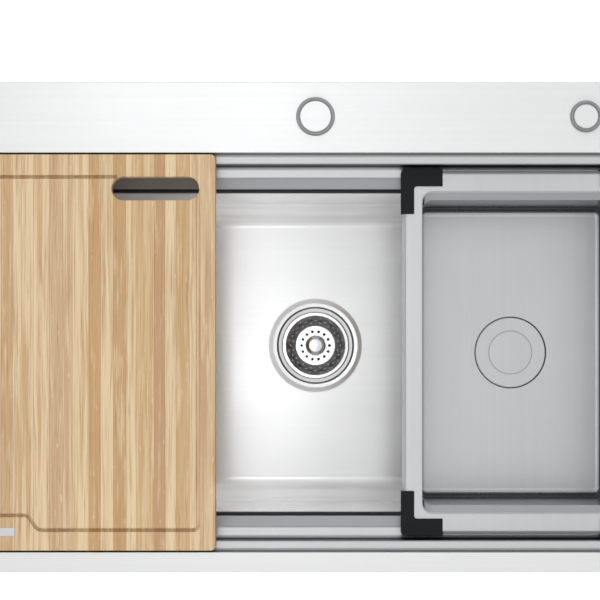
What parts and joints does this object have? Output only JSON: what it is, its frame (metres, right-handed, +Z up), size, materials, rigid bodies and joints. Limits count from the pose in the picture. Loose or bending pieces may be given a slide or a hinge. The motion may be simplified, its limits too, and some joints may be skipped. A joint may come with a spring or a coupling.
{
  "type": "workstation kitchen sink",
  "caption": "Drop-in steel kitchen sink with stepped ledges that carry a sliding bamboo board and a sliding steel tub, with a basket strainer and covered tap holes.",
  "frame": {"origin": "middle of the rim's outline, on the worktop's surface, which is the underside of the sealing strip", "axes": "+X right along the sink, +Y back towards the tap deck, +Z up out of the bowl"},
  "size_m": [1.1716, 0.51, 0.291],
  "materials": {
    "brushed_steel": "fine satin brushing along the sink",
    "polished_steel": "polished stainless steel",
    "zinc_plate": "zinc plated",
    "moulded_plastic": "moulded",
    "black_rubber": "matt",
    "sound_rubber": "matt sheet",
    "silicone": "satin silicone",
    "bamboo": "oiled, glued strips"
  },
  "bodies": {
    "sink": {"rim_plate": "brushed_steel", "ledge_front": "brushed_steel", "ledge_back": "brushed_steel", "end_wall_left": "brushed_steel", "end_wall_right": "brushed_steel", "bowl": "brushed_steel", "rim_seal": "black_rubber", "rail_front": "zinc_plate", "rail_back": "zinc_plate", "rail_left": "zinc_plate", "rail_right": "zinc_plate", "clip_brackets": "zinc_plate", "clip_screws": "zinc_plate", "clip_feet": "moulded_plastic", "sound_pad_left": "sound_rubber", "sound_pad_right": "sound_rubber", "sound_pad_front": "sound_rubber", "sound_pad_back": "sound_rubber", "tap_cap": "polished_steel", "tap_cap_gasket": "black_rubber", "tap_cap_washer": "moulded_plastic", "tap_cap_nut": "zinc_plate", "soap_cap": "polished_steel", "soap_cap_gasket": "black_rubber", "soap_cap_washer": "moulded_plastic", "soap_cap_nut": "zinc_plate", "strainer_body": "polished_steel", "strainer_gasket": "black_rubber", "strainer_washer": "black_rubber", "strainer_slip_ring": "moulded_plastic", "strainer_nut": "moulded_plastic"},
    "basket": {"basket_cup": "polished_steel", "basket_post": "polished_steel", "basket_knob": "polished_steel", "basket_stopper": "black_rubber"},
    "board": {"board": "bamboo", "board_plate": "polished_steel"},
    "tub": {"tub_shell": "brushed_steel", "pad_front_left": "silicone", "pad_front_right": "silicone", "pad_back_left": "silicone", "pad_back_right": "silicone"},
    "tub_plug": {"plug_disc": "brushed_steel", "plug_seal": "silicone"}
  },
  "joints": [
    {"name": "board_slide", "type": "slide", "parent": "sink", "child": "board", "axis": [1, 0, 0], "range_m": [-0.0082, 0.662]},
    {"name": "tub_slide", "type": "slide", "parent": "sink", "child": "tub", "axis": [1, 0, 0], "range_m": [-0.6483, 0.2243]},
    {"name": "basket_lift", "type": "slide", "parent": "sink", "child": "basket", "axis": [0, 0, 1], "range_m": [0, 0.06]},
    {"name": "plug_lift", "type": "slide", "parent": "tub", "child": "tub_plug", "axis": [0, 0, 1], "range_m": [0, 0.1]}
  ]
}
